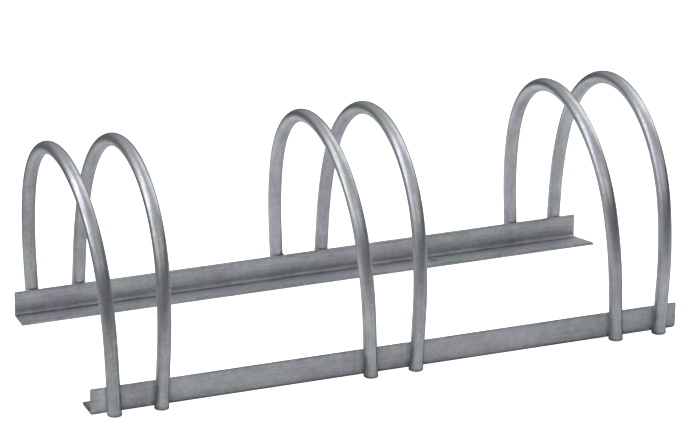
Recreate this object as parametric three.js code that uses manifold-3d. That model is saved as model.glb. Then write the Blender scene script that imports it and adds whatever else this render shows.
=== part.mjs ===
// Hoop bike rack for three bicycles: six bent tube hoops in splayed pairs, welded by their feet
// to the outer faces of two steel angle rails that lie on the ground. Millimetres, +Z up.
// X runs along the rails, -Y is the front rail, +Y the back rail, and the ground is z = 0.
import * as THREE from 'three';
import { mergeVertices } from 'three/addons/utils/BufferGeometryUtils.js';
import Module from 'manifold-3d';

const wasm = await Module();
wasm.setup();

// The places: one pair of hoops holds one wheel
const placeCount = 3;
const placePitch = 350;          // centre of one wheel slot to the next
const slotWidthAtGround = 45;    // clear width between the two hoops of a pair, at the ground
const splayAngle = THREE.MathUtils.degToRad(2.5);   // each hoop leans away from its partner

// The hoops: round tube, straight legs, a slack side bend and a tighter crown
const tubeDiameter = 18;
const tubeWall = 2;
const hoopWidth = 350;           // between the centrelines of its two legs
const hoopHeight = 300;          // ground to the top of the tube, before the hoop is splayed
const legStraight = 75;          // ground to the start of the side bend
const sideBendAngle = THREE.MathUtils.degToRad(18);

// The rails: equal steel angle with a rolled root and rolled toes
const railHeight = 35;
const railWidth = 35;
const railThickness = 4;
const railRootRadius = 5;
const railToeRadius = 2.5;
const railOverhang = 28.5;       // last leg's centreline to the rail's end
const endCutReach = 16;          // slanting end of the back rail: toe past the upright leg

// The fixing holes in the flat leg of each rail, counted from the rail's left end
const holeDiameter = 9;
const holeGauge = 20;            // outer face of the rail to the hole's centre
const firstHoleFromEnd = 200;
const holeSpacing = 400;

// The welds: one fillet on each side of each foot
const seatGap = 0.3;             // left between pieces that touch
const weldToeReach = 1.6;        // how far the bead spreads on the rail past the tube's side
const weldCrown = 0.7;           // how far its face bulges
const weldFootGap = 1.5;         // ground to the bead's lower end
const weldEndTaper = 4;          // length over which each end of the bead dies out
const frontWeldDrop = 0.8;       // rail's top edge down to the bead's upper end, front feet
const backWeldRise = 3;          // rail's top edge up to the bead's upper end, back feet
const weldRootAngle = THREE.MathUtils.degToRad(66);   // round the tube, 90 is the line of contact
const weldFlankAngle = THREE.MathUtils.degToRad(24);
const weldEndShare = 0.35;       // size of the bead at its very ends

// What the cuts run past the surfaces they cut
const cutOverrun = 3;

// How finely round shapes are divided
const tubeSides = 16;
const boreSides = 10;
const sideBendSteps = 3;
const crownSteps = 10;
const holeSides = 24;
const filletSegments = 5;
const weldArcPoints = 5;
const weldTaperRings = 3;

// Worked out from the sizes above
const tubeRadius = tubeDiameter / 2;
const hoopSpacing = slotWidthAtGround + tubeDiameter;
const railLength = (placeCount - 1) * placePitch + hoopSpacing + 2 * railOverhang;
const railFaceY = hoopWidth / 2 - tubeRadius - seatGap;
const holeXs = [firstHoleFromEnd, firstHoleFromEnd + holeSpacing].map((d) => d - railLength / 2);

const galvanisedTube = new THREE.MeshStandardMaterial({
  name: 'galvanised_tube', color: 0x8d9297, roughness: 0.42, metalness: 0.9,
});
const galvanisedAngle = new THREE.MeshStandardMaterial({
  name: 'galvanised_angle', color: 0x83888d, roughness: 0.5, metalness: 0.9,
});
const galvanisedWeld = new THREE.MeshStandardMaterial({
  name: 'galvanised_weld', color: 0x6f7479, roughness: 0.6, metalness: 0.85,
});

// A closed mesh as a solid that can be cut
function toSolid(geometry) {
  const bare = geometry.clone();
  bare.deleteAttribute('normal');
  bare.deleteAttribute('uv');
  const merged = mergeVertices(bare);
  return new wasm.Manifold(new wasm.Mesh({
    numProp: 3,
    vertProperties: Float32Array.from(merged.attributes.position.array),
    triVerts: Uint32Array.from(merged.index.array),
  }));
}

// A solid back as a mesh geometry
function toGeometry(solid) {
  const mesh = solid.getMesh();
  const geometry = new THREE.BufferGeometry();
  geometry.setAttribute('position', new THREE.BufferAttribute(mesh.vertProperties, 3));
  geometry.setIndex(new THREE.BufferAttribute(mesh.triVerts, 1));
  geometry.computeVertexNormals();
  return geometry;
}

// The hoop's centreline in the YZ plane. Each half is a straight leg, a side bend of radius
// sideRadius through sideBendAngle and a crown bend of crownRadius up to the top. The two radii
// are the ones that bring the bends from the leg to the top at hoopWidth and hoopHeight.
// Equal steps of the curve's parameter fall on the stations: the ends of the straight legs, and
// even shares of each bend.
class HoopCentreline extends THREE.Curve {
  constructor(legBelowGround) {
    super();
    const c = Math.cos(sideBendAngle);
    const s = Math.sin(sideBendAngle);
    const across = hoopWidth / 2;
    const rise = hoopHeight - tubeRadius - legStraight;
    const det = (1 - c) * (1 - s) - c * s;
    this.sideRadius = (across * (1 - s) - rise * c) / det;
    this.crownRadius = ((1 - c) * rise - s * across) / det;
    this.low = legBelowGround;
    this.legLength = legStraight + legBelowGround;
    this.sideLength = this.sideRadius * sideBendAngle;
    this.crownLength = this.crownRadius * (Math.PI / 2 - sideBendAngle);
    this.halfLength = this.legLength + this.sideLength + this.crownLength;
    const half = [0];
    for (let i = 0; i <= sideBendSteps; i += 1) {
      half.push(this.legLength + this.sideLength * i / sideBendSteps);
    }
    for (let i = 1; i <= crownSteps; i += 1) {
      half.push(this.legLength + this.sideLength + this.crownLength * i / crownSteps);
    }
    const otherHalf = half.slice(0, -1).reverse().map((d) => 2 * this.halfLength - d);
    this.stations = [...half, ...otherHalf];
  }

  // a point of the half that stands at -Y, at a distance along it from the foot
  halfPoint(distance) {
    const foot = -hoopWidth / 2;
    if (distance <= this.legLength) {
      return [foot, distance - this.low];
    }
    const alongSide = distance - this.legLength;
    if (alongSide <= this.sideLength) {
      const turn = alongSide / this.sideRadius;
      return [
        foot + this.sideRadius * (1 - Math.cos(turn)),
        legStraight + this.sideRadius * Math.sin(turn),
      ];
    }
    const turn = sideBendAngle + (alongSide - this.sideLength) / this.crownRadius;
    return [
      -this.crownRadius * Math.cos(turn),
      hoopHeight - tubeRadius - this.crownRadius * (1 - Math.sin(turn)),
    ];
  }

  getUtoTmapping(u) {
    return u;
  }

  getPoint(t, target = new THREE.Vector3()) {
    const place = t * (this.stations.length - 1);
    const step = Math.min(Math.floor(place), this.stations.length - 2);
    const [from, to] = this.stations.slice(step, step + 2);
    const distance = from + (to - from) * (place - step);
    const onBack = distance > this.halfLength;
    const [y, z] = this.halfPoint(onBack ? 2 * this.halfLength - distance : distance);
    return target.set(0, onBack ? -y : y, z);
  }
}

// One hoop of open-ended tube, its feet cut level with the ground although it leans
function makeHoop(lean) {
  const path = new HoopCentreline(cutOverrun);
  const ring = new THREE.Shape(circlePoints(tubeRadius, tubeSides));
  ring.holes.push(new THREE.Path(circlePoints(tubeRadius - tubeWall, boreSides)));
  const tube = new THREE.ExtrudeGeometry(ring, {
    steps: path.stations.length - 1, extrudePath: path, bevelEnabled: false,
  });
  const ground = new THREE.BoxGeometry(hoopWidth, 2 * hoopWidth, hoopHeight);
  ground.translate(0, 0, -hoopHeight / 2);
  ground.rotateY(-lean);
  return toGeometry(toSolid(tube).subtract(toSolid(ground)));
}

function circlePoints(radius, count) {
  return Array.from({ length: count }, (_, i) => {
    const angle = 2 * Math.PI * (i + 0.5) / count;
    return new THREE.Vector2(radius * Math.cos(angle), radius * Math.sin(angle));
  });
}

// The angle's section: the first axis runs inwards from the outer face, the second up
function angleSection() {
  const quarter = Math.PI / 2;
  const section = new THREE.Shape();
  section.moveTo(0, 0);
  section.lineTo(railWidth, 0);
  section.absarc(
    railWidth - railToeRadius, railThickness - railToeRadius, railToeRadius, 0, quarter, false);
  section.absarc(
    railThickness + railRootRadius, railThickness + railRootRadius, railRootRadius,
    -quarter, -2 * quarter, true);
  section.absarc(
    railThickness - railToeRadius, railHeight - railToeRadius, railToeRadius, 0, quarter, false);
  section.lineTo(0, railHeight);
  section.closePath();
  return section;
}

// A rail with its outer face on y = 0 and its flat leg towards -Y. A slantReach above zero lets
// the flat leg run on past the upright leg at the +X end, to a slanting cut.
function makeRail(holePlaces, slantReach) {
  const bar = new THREE.ExtrudeGeometry(angleSection(), {
    depth: railLength + slantReach, curveSegments: filletSegments, bevelEnabled: false,
  });
  const alongX = new THREE.Matrix4().makeBasis(
    new THREE.Vector3(0, -1, 0), new THREE.Vector3(0, 0, 1), new THREE.Vector3(-1, 0, 0));
  bar.applyMatrix4(alongX);
  bar.translate(railLength / 2 + slantReach, 0, 0);
  let rail = toSolid(bar);
  for (const x of holePlaces) {
    rail = rail.subtract(holeCutter(x));
  }
  if (slantReach > 0) {
    rail = rail.subtract(slantCutter(slantReach));
  }
  return toGeometry(rail);
}

function holeCutter(x) {
  const drill = new THREE.CylinderGeometry(
    holeDiameter / 2, holeDiameter / 2, railThickness + 2 * cutOverrun, holeSides);
  drill.rotateX(Math.PI / 2);
  drill.translate(x, -holeGauge, railThickness / 2);
  return toSolid(drill);
}

// Everything past a line that crosses the upright leg squarely and then slants out to the toe
function slantCutter(reach) {
  const end = railLength / 2;
  const past = end + reach + cutOverrun;
  const plan = new THREE.Shape([
    new THREE.Vector2(end, cutOverrun),
    new THREE.Vector2(end, -railThickness),
    new THREE.Vector2(end + reach, -railWidth),
    new THREE.Vector2(end + reach, -railWidth - cutOverrun),
    new THREE.Vector2(past, -railWidth - cutOverrun),
    new THREE.Vector2(past, cutOverrun),
  ]);
  const block = new THREE.ExtrudeGeometry(plan, {
    depth: railHeight + 2 * cutOverrun, bevelEnabled: false,
  });
  block.translate(0, 0, -cutOverrun);
  return toSolid(block);
}

// The weld bead's section beside a tube at the origin whose rail face lies towards +Y. It fills
// the wedge between tube and face from its root out to its two toes. size 1 is the full bead.
function weldSection(size) {
  const hug = tubeRadius + seatGap;
  const points = [];
  for (let i = 0; i < weldArcPoints; i += 1) {
    const share = i / (weldArcPoints - 1);
    const angle = weldRootAngle - share * size * (weldRootAngle - weldFlankAngle);
    points.push([hug * Math.cos(angle), hug * Math.sin(angle)]);
  }
  const root = hug * Math.cos(weldRootAngle);
  const toe = root + size * (tubeRadius + weldToeReach - root);
  const flank = points[points.length - 1];
  const bulge = size * weldCrown;
  points.push([(flank[0] + toe) / 2 + bulge, (flank[1] + tubeRadius) / 2 - bulge]);
  points.push([toe, tubeRadius]);
  points.push([root, tubeRadius]);
  return points;
}

// A bead along +Z from low to high, dying out at both ends. side 1 is the tube's +X side.
function makeWeld(low, high, side) {
  const rings = [];
  for (let i = 0; i < weldTaperRings; i += 1) {
    const share = i / (weldTaperRings - 1);
    const size = weldEndShare + (1 - weldEndShare) * Math.sin(share * Math.PI / 2);
    rings.push([low + share * weldEndTaper, size]);
  }
  for (const [height, size] of [...rings].reverse()) {
    rings.push([low + high - height, size]);
  }
  const sections = rings.map(([height, size]) => (
    weldSection(size).map(([x, y]) => [side * x, y, height])));
  return loft(side > 0 ? sections : sections.reverse());
}

// A closed body through rings of equally many points, with flat ends
function loft(rings) {
  const count = rings[0].length;
  const positions = rings.flat(2);
  const indices = [];
  for (let r = 0; r + 1 < rings.length; r += 1) {
    for (let i = 0; i < count; i += 1) {
      const a = r * count + i;
      const b = r * count + (i + 1) % count;
      indices.push(a, b, b + count, a, b + count, a + count);
    }
  }
  const outline = rings[0].map(([x, y]) => new THREE.Vector2(x, y));
  const clockwise = THREE.ShapeUtils.isClockWise(outline);
  const top = (rings.length - 1) * count;
  for (const [a, b, c] of THREE.ShapeUtils.triangulateShape(outline, [])) {
    const flip = clockwise === isClockwise(outline, a, b, c);
    const [p, q] = flip ? [c, b] : [b, c];
    indices.push(a, p, q, top + a, top + q, top + p);
  }
  const geometry = new THREE.BufferGeometry();
  geometry.setAttribute('position', new THREE.Float32BufferAttribute(positions, 3));
  geometry.setIndex(indices);
  geometry.computeVertexNormals();
  return geometry;
}

function isClockwise(outline, a, b, c) {
  return THREE.ShapeUtils.isClockWise([outline[a], outline[b], outline[c]]);
}

function addMesh(parent, name, geometry, material) {
  const mesh = new THREE.Mesh(geometry, material);
  mesh.name = name;
  parent.add(mesh);
  return mesh;
}

const rack = new THREE.Group();

// The origin is the middle of the whole footprint, which the slanting rail end makes longer
const footprint = new THREE.Group();
footprint.position.x = -endCutReach / 2;
rack.add(footprint);

const backRail = addMesh(
  footprint, 'back_rail', makeRail(holeXs, endCutReach), galvanisedAngle);
backRail.position.y = railFaceY;

// Turned end for end, so its holes are counted from the other end to lie opposite the back's
const frontRail = addMesh(
  footprint, 'front_rail', makeRail(holeXs.map((x) => -x), 0), galvanisedAngle);
frontRail.position.y = -railFaceY;
frontRail.rotation.z = Math.PI;

for (let place = 0; place < placeCount; place += 1) {
  const slotX = (place - (placeCount - 1) / 2) * placePitch;
  for (const outward of [-1, 1]) {
    const number = 2 * place + (outward < 0 ? 1 : 2);
    const lean = outward * splayAngle;
    const hoop = new THREE.Group();
    hoop.position.x = slotX + outward * hoopSpacing / 2;
    hoop.rotation.y = lean;
    footprint.add(hoop);
    addMesh(hoop, `hoop_${number}`, makeHoop(lean), galvanisedTube);
    addFootWelds(hoop, `hoop_${number}_front`, -1, railHeight - frontWeldDrop);
    addFootWelds(hoop, `hoop_${number}_back`, 1, railHeight + backWeldRise);
  }
}

// Two beads where a foot meets its rail. end is -1 at the front rail and 1 at the back rail.
function addFootWelds(hoop, name, end, high) {
  for (const side of [-1, 1]) {
    const label = side < 0 ? 'left' : 'right';
    const turned = end > 0;
    const bead = makeWeld(weldFootGap, high, turned ? -side : side);
    const mesh = addMesh(hoop, `${name}_weld_${label}`, bead, galvanisedWeld);
    mesh.position.y = end * hoopWidth / 2;
    mesh.rotation.z = turned ? Math.PI : 0;
  }
}

export default rack;
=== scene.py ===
# Looks of a three-place hoop bike rack in hot-dip galvanised steel, in metres, +Z up.
# Every piece stands for the CAD node of its name and lies where that node lies.
import math

import bmesh
import bpy
import numpy as np
from mathutils import Matrix, Vector


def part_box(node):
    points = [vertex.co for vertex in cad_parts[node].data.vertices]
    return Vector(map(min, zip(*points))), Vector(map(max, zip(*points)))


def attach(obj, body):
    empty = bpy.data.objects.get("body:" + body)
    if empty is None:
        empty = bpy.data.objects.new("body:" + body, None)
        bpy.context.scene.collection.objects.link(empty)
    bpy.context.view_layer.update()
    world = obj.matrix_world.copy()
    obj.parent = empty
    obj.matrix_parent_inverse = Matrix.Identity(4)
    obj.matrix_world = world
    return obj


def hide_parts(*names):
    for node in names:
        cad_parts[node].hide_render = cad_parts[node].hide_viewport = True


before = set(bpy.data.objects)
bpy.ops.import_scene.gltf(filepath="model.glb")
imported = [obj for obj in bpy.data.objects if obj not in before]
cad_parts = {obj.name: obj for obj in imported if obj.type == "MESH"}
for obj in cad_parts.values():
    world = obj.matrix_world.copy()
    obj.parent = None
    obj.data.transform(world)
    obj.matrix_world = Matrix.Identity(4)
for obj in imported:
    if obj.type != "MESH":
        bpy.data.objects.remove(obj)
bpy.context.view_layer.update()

# The rack's driving sizes
PLACE_COUNT = 3
PLACE_PITCH = 0.350          # centre of one wheel slot to the next
SLOT_WIDTH = 0.045           # between the two hoops of a pair, at the ground
SPLAY = math.radians(2.5)    # each hoop leans away from its partner
TUBE_RADIUS = 0.009
TUBE_WALL = 0.002
HOOP_WIDTH = 0.350           # between the centrelines of a hoop's legs
HOOP_HEIGHT = 0.300
LEG_STRAIGHT = 0.075         # ground to the start of the side bend
SIDE_BEND = math.radians(18)
RAIL_THICKNESS = 0.004
RAIL_ROOT_RADIUS = 0.005
RAIL_TOE_RADIUS = 0.0025
RAIL_OVERHANG = 0.0285       # last leg's centreline to the rail's end
END_CUT_REACH = 0.016        # the back rail's flat toe past its upright leg
HOLE_RADIUS = 0.0045
HOLE_GAUGE = 0.020           # outer face of a rail to its holes
FIRST_HOLE = 0.200           # left end of a rail to its first hole
HOLE_SPACING = 0.400
SEAT_GAP = 0.0003            # tube to rail

# Sizes read from the frame
back_low, back_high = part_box("back_rail")
front_low, front_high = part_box("front_rail")
RAIL_HEIGHT = back_high.z
RAIL_WIDTH = back_high.y - back_low.y
RAIL_FACE = back_high.y      # a rail's outer face from the middle of the rack
RAIL_START = front_low.x
RAIL_END = front_high.x
RAIL_LENGTH = RAIL_END - RAIL_START
HOOP_NUMBERS = range(1, 2 * PLACE_COUNT + 1)
HOOP_SPACING = SLOT_WIDTH + 2 * TUBE_RADIUS
FIRST_SLOT = RAIL_START + RAIL_OVERHANG + HOOP_SPACING / 2


def bend_radii():
    """Radii of a hoop's two arcs, which lead from the straight leg to the top of the tube.

    The side arc turns through SIDE_BEND and the crown arc through the rest of a right angle.
    Inwards they cover half the hoop's width, side (1 - cos) + crown cos, and upwards the rise
    above the straight leg, side sin + crown (1 - sin). The two equations give both radii.
    """
    cosine = math.cos(SIDE_BEND)
    sine = math.sin(SIDE_BEND)
    across = HOOP_WIDTH / 2
    rise = HOOP_HEIGHT - TUBE_RADIUS - LEG_STRAIGHT
    determinant = (1 - cosine) * (1 - sine) - cosine * sine
    side = (across * (1 - sine) - rise * cosine) / determinant
    crown = ((1 - cosine) * rise - sine * across) / determinant
    return side, crown


SIDE_RADIUS, CROWN_RADIUS = bend_radii()
SIDE_LENGTH = SIDE_RADIUS * SIDE_BEND
CROWN_LENGTH = CROWN_RADIUS * (math.pi / 2 - SIDE_BEND)
HOOP_LENGTH = 2 * (LEG_STRAIGHT + SIDE_LENGTH + CROWN_LENGTH)


# Grids and meshes

def grid_quads(rows, columns, wrap_rows=False, wrap_columns=False):
    """Quads of a grid whose points are numbered row by row. A wrapped way joins last line to first."""
    row = np.arange(rows if wrap_rows else rows - 1)[:, None]
    column = np.arange(columns if wrap_columns else columns - 1)[None, :]
    next_row = (row + 1) % rows
    next_column = (column + 1) % columns
    corners = (
        row * columns + column,
        row * columns + next_column,
        next_row * columns + next_column,
        next_row * columns + column,
    )
    return np.stack(np.broadcast_arrays(*corners), axis=-1)


def join_grids(parts):
    """One array of points and one of quads from the (points, quads) of several grids."""
    all_points = []
    all_quads = []
    before = 0
    for points, quads in parts:
        all_points.append(points.reshape(-1, 3))
        all_quads.append(quads.reshape(-1, 4) + before)
        before += len(all_points[-1])
    return np.concatenate(all_points), np.concatenate(all_quads)


def steps(*stretches):
    """Values along stretches (start, end, count) laid end to end, with no value twice."""
    parts = [np.linspace(start, end, count, endpoint=False) for start, end, count in stretches]
    return np.concatenate([*parts, [stretches[-1][1]]])


def arc(centre, radius, start, end, count):
    """Points of a plane arc: centre + radius (cos a, sin a), with a from start to end in degrees."""
    angle = np.radians(np.linspace(start, end, count))
    return np.asarray(centre) + radius * np.stack([np.cos(angle), np.sin(angle)], axis=-1)


def smooth_step(value):
    """0 below 0, 1 above 1 and 3v^2 - 2v^3 between."""
    v = np.clip(value, 0, 1)
    return v * v * (3 - 2 * v)


def bell(value, place, width):
    """exp(-d^2), with d the distance from the place in widths."""
    return np.exp(-((value - place) / width) ** 2)


finishes = {}                # material slot to the material made for it below
MERGE_DISTANCE = 1e-6
SHARP_ANGLE = math.radians(38)


def finish_piece(node, points, quads, slot, **point_values):
    """Makes the closed skin that stands for a node, with its values per point kept as attributes."""
    mesh = bpy.data.meshes.new(node + "_finished")
    mesh.from_pydata(points.reshape(-1, 3).tolist(), [], quads.reshape(-1, 4).tolist())
    for label, values in point_values.items():
        is_vector = values.shape[-1] == 3
        attribute = mesh.attributes.new(label, "FLOAT_VECTOR" if is_vector else "FLOAT", "POINT")
        field = "vector" if is_vector else "value"
        attribute.data.foreach_set(field, values.astype(np.float32).ravel())
    close_skin(mesh)
    mesh.shade_smooth()
    mesh.set_sharp_from_angle(angle=SHARP_ANGLE)
    mesh.materials.append(finishes[slot])
    piece = bpy.data.objects.new(mesh.name, mesh)
    bpy.context.scene.collection.objects.link(piece)
    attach(piece, "root")
    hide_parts(node)


def close_skin(mesh):
    """Joins the grids of a skin where their edges coincide, and turns its faces outward."""
    work = bmesh.new()
    work.from_mesh(mesh)
    bmesh.ops.remove_doubles(work, verts=work.verts, dist=MERGE_DISTANCE)
    bmesh.ops.dissolve_degenerate(work, edges=work.edges, dist=MERGE_DISTANCE)
    bmesh.ops.recalc_face_normals(work, faces=work.faces)
    work.to_mesh(mesh)
    work.free()


# Hoops

TUBE_SIDES = 56
RING_COUNTS = (3, 4, 10, 3, 10, 26)  # on the stretches of half a hoop, from a foot to the top
JOINT_BELOW = 0.002          # the closest rings start this far below the rail's top edge
JOINT_ABOVE = 0.004          # and end this far above it
CUT_ROUNDING = 0.0003        # on both edges of a cut foot
BEND_SHARE = 0.3             # of that rounding, from both faces to the ring on its bend
ZINC_LAYER = 0.0001
FOOT_SWELL = 0.0007          # zinc that ran down and thickened a foot
FOOT_SWELL_LENGTH = 0.005
BEND_OVAL = 0.0002           # how much flatter the tube is in its bends
# Painted shade on a hoop by the rail: a thin shadow line above it, and darker leg flanks where the
# rail and beads shade the tube and darkly reflect in it.
JOINT_RISE = 0.0007          # a thin painted shadow line above the rail
JOINT_WIDTH = 0.0012
LINE_WRAP = 1.5              # how soon that line gets its strength round the tube
JOINT_FADE = 0.004           # down from the rail's top edge, on a leg's flanks
LINE_SHADES = (0.9, 0.6, 0.5, 0.3, 0.1, 0.15)  # strength of that painted shadow line, hoop by hoop
RIGHT_START = math.radians(27)       # round a leg from its side away from the rail
LEFT_START = math.radians(17)
FLANK_FADE = math.radians(45)
RIGHT_SHADE = 1.0
LEFT_SHADES = (0.0, 0.68, 0.9, 0.72, 0.66, 0.7)  # painted shade on a leg's left flank by the rail, hoop by hoop
HOOP_TONES = (-0.28, -0.18, 0.06, 0.0, -0.05, 0.06)  # hoop by hoop, brighter above 0
TONE_RISE = 0.07             # from the ground, over which a hoop's own tone comes in
TONE_END = 0.08              # from the top, where it has gone again
TONE_FALL = 0.09             # over which it goes
# Painted light on each hoop's crown and on its shoulder behind the top
CROWN_PAINTED_LIGHT = 0.38             # painted light round the top of a hoop
CROWN_PLACE = 0.02           # along the tube, behind the top
CROWN_WIDTH = 0.075
SHOULDER_PAINTED_LIGHT = 0.16            # brighter where the zinc drained off
SHOULDER_PLACE = 0.15           # painted light on the shoulder behind the top
SHOULDER_WIDTH = 0.08


def hoop_path(distance):
    """Centreline (y, z) and outward normal (y, z) of an upright hoop, by distance from its front foot.

    Each half is a straight leg, an arc of SIDE_RADIUS through SIDE_BEND and an arc of CROWN_RADIUS
    up to the top. The back half is the front one mirrored. The normal turns with the arcs.
    """
    from_foot = np.minimum(distance, HOOP_LENGTH - distance)
    front = np.where(distance > HOOP_LENGTH / 2, -1.0, 1.0)
    side = np.clip(from_foot - LEG_STRAIGHT, 0, SIDE_LENGTH) / SIDE_RADIUS
    crown = np.clip(from_foot - LEG_STRAIGHT - SIDE_LENGTH, 0, CROWN_LENGTH) / CROWN_RADIUS
    turn = side + crown
    y = (
        -HOOP_WIDTH / 2
        + SIDE_RADIUS * (1 - np.cos(side))
        + CROWN_RADIUS * (math.cos(SIDE_BEND) - np.cos(SIDE_BEND + crown))
    )
    z = (
        np.minimum(from_foot, LEG_STRAIGHT)
        + SIDE_RADIUS * np.sin(side)
        + CROWN_RADIUS * (np.sin(SIDE_BEND + crown) - math.sin(SIDE_BEND))
    )
    centre = np.stack([front * y, z], axis=-1)
    normal = np.stack([-front * np.cos(turn), np.sin(turn)], axis=-1)
    return centre, normal


def hoop_rings():
    """Distance from the front foot and radius of each ring of the tube's skin.

    The rings run up the outside from the front foot, round the cut edge of the back foot, back
    through the bore and round the cut edge of the front foot, so the skin closes on itself. The
    outside swells towards a foot by FOOT_SWELL exp(-d / FOOT_SWELL_LENGTH).
    """
    places = (
        CUT_ROUNDING, FOOT_SWELL_LENGTH, RAIL_HEIGHT - JOINT_BELOW, RAIL_HEIGHT + JOINT_ABOVE,
        LEG_STRAIGHT, LEG_STRAIGHT + SIDE_LENGTH, HOOP_LENGTH / 2)
    half = steps(*zip(places, places[1:], RING_COUNTS))
    outside = np.concatenate([half, (HOOP_LENGTH - half[:-1])[::-1]])
    from_foot = np.minimum(outside, HOOP_LENGTH - outside)
    swell = FOOT_SWELL * np.exp(-from_foot / FOOT_SWELL_LENGTH)
    bore = TUBE_RADIUS - TUBE_WALL
    edge = np.array([BEND_SHARE, 0.0]) * CUT_ROUNDING
    lip = TUBE_RADIUS + ZINC_LAYER + swell[0] - np.array([BEND_SHARE, 1.0]) * CUT_ROUNDING
    bore_lip = bore + np.array([1.0, BEND_SHARE]) * CUT_ROUNDING
    skin = TUBE_RADIUS + ZINC_LAYER + swell
    inside = np.full(len(outside), bore)
    distance = np.concatenate([
        outside, HOOP_LENGTH - edge, HOOP_LENGTH - edge[::-1], outside[::-1], edge, edge[::-1]])
    radius = np.concatenate([skin, lip, bore_lip, inside, bore_lip[::-1], lip[::-1]])
    return distance, radius


def paint_shade_by_rail(from_foot, angle, line_shade, left_shade):
    """Painted shade next to the rail, ring by ring and side by side of a tube.

    A bell curve paints a thin shadow line above the rail, as strong round the tube as
    -LINE_WRAP cos a, from 0 to 1. Over the rail's height both flanks of the leg are painted
    darker, where the rail and beads shade them and darkly reflect in them, by a smooth step round
    the tube that starts at LEFT_START or RIGHT_START from its side away from the rail.
    """
    line = line_shade * bell(from_foot, RAIL_HEIGHT + JOINT_RISE, JOINT_WIDTH)
    line = line * np.clip(-LINE_WRAP * np.cos(angle), 0, 1)
    below_top = smooth_step((RAIL_HEIGHT - from_foot) / JOINT_FADE)
    is_left = np.sin(angle) < 0
    start = np.where(is_left, LEFT_START, RIGHT_START)
    flank = smooth_step((np.arccos(np.cos(angle)) - start) / FLANK_FADE)
    flank = flank * np.where(is_left, left_shade, RIGHT_SHADE)
    return np.maximum(line, below_top * flank)


def hoop_tone_and_painted_light(distance, from_foot, tone):
    """How much brighter a hoop is painted along it.

    Two bell curves lie behind the top: painted light on the crown and on the shoulder behind
    it. The hoop's own tone is added below, and comes in from the ground and dies out towards the
    top by smooth steps.
    """
    behind_top = distance - HOOP_LENGTH / 2
    from_top = HOOP_LENGTH / 2 - from_foot
    rub = CROWN_PAINTED_LIGHT * bell(behind_top, CROWN_PLACE, CROWN_WIDTH)
    rub += SHOULDER_PAINTED_LIGHT * bell(behind_top, SHOULDER_PLACE, SHOULDER_WIDTH)
    rub += tone * smooth_step(from_foot / TONE_RISE) * smooth_step((from_top - TONE_END) / TONE_FALL)
    return rub


def hoop_skin(foot_x, lean, tone, line_shade, left_shade):
    """Points of one hoop's tube, rings by sides, with its values per point.

    A ring's point is centre + radius (cos a normal + sin a X), slightly oval in the bends. The
    feet are sheared level with the ground over the straight legs. Of the values, flow runs along
    the tube and foot is the distance from the nearer foot.
    """
    distance, radius = hoop_rings()
    centre, normal = hoop_path(distance)
    distance = distance[:, None]
    radius = radius[:, None]
    angle = np.linspace(0, 2 * math.pi, TUBE_SIDES, endpoint=False)[None, :]
    from_foot = np.minimum(distance, HOOP_LENGTH - distance)
    bend = smooth_step((from_foot - LEG_STRAIGHT) / SIDE_LENGTH)
    in_plane = (radius - BEND_OVAL * bend) * np.cos(angle)
    x = (radius + BEND_OVAL * bend) * np.sin(angle)
    y = centre[:, :1] + in_plane * normal[:, :1]
    level = np.clip(1 - from_foot / LEG_STRAIGHT, 0, 1)
    z = centre[:, 1:] + in_plane * normal[:, 1:] + x * math.tan(lean) * level
    points = set_on_foot(x, y, z, foot_x, lean)
    flow = np.stack(np.broadcast_arrays(
        TUBE_RADIUS * np.cos(angle), TUBE_RADIUS * np.sin(angle), distance), axis=-1)
    values = {
        "foot": from_foot,
        "joint": paint_shade_by_rail(from_foot, angle, line_shade, left_shade),
        "rub": hoop_tone_and_painted_light(distance, from_foot, tone),
    }
    spread = {label: np.broadcast_to(value, x.shape)[..., None] for label, value in values.items()}
    return points, {"flow": flow, **spread}


def set_on_foot(x, y, z, foot_x, lean):
    """Points turned about Y by a hoop's lean and moved along the rack to its foot."""
    return np.stack([
        foot_x + x * math.cos(lean) + z * math.sin(lean),
        y,
        z * math.cos(lean) - x * math.sin(lean),
    ], axis=-1)


def foot_place(number):
    """Where a hoop's centreline meets the ground along the rack, and to which side it leans."""
    place, side = divmod(number - 1, 2)
    outward = 2 * side - 1
    return FIRST_SLOT + place * PLACE_PITCH + outward * HOOP_SPACING / 2, outward


def make_hoops():
    """The six hoops, closed both round the tube and along it."""
    for number in HOOP_NUMBERS:
        foot_x, outward = foot_place(number)
        shades = HOOP_TONES[number - 1], LINE_SHADES[number - 1], LEFT_SHADES[number - 1]
        points, values = hoop_skin(foot_x, outward * SPLAY, *shades)
        quads = grid_quads(*points.shape[:2], wrap_rows=True, wrap_columns=True)
        finish_piece(f"hoop_{number}", points, quads, "galvanised_tube", **values)


# Rails

CORNER_ROUNDING = 0.0005     # on the rail's outer heel, its outer toe corners and its holes' rims
TOE_POINTS = 7
ROOT_POINTS = 9
LEG_SHARES = np.array([0, 0.03, 0.08, 0.18, 0.34, 0.5, 0.66, 0.82, 0.92, 0.97, 1])
LEG_CELLS = len(LEG_SHARES) - 1
ROOT_CELLS = 4               # on the flat leg, from the root fillet to the holes' squares
TIP_CELLS = 5                # from those squares to the flat toe
HOLE_PATCH = 0.007           # half the side of the square of finer cells round a hole
PATCH_CELLS = 8
PATCH_SHARES = (0, 0.5, 0.8)         # of the way from that square to the hole's rim
RIM_TURNS = np.radians([0, 30, 60, 90])
PLAIN_CELLS = 12             # along a rail, between its ends and the holes' squares
LEG_REACH = 0.020            # finer stations on both sides of a hoop's leg
LEG_STATIONS = 17
STATION_DIGITS = 6           # stations closer than a micrometre are one
SHEAR_LENGTH = 0.003         # the cut end's rounded-over stretch
SHEAR_SHARES = np.array([0, 0.1, 0.3, 0.6])
SHEAR_DROOP = 0.0006         # how far the inner faces droop at the cut
CAP_CELLS = 4
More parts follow.
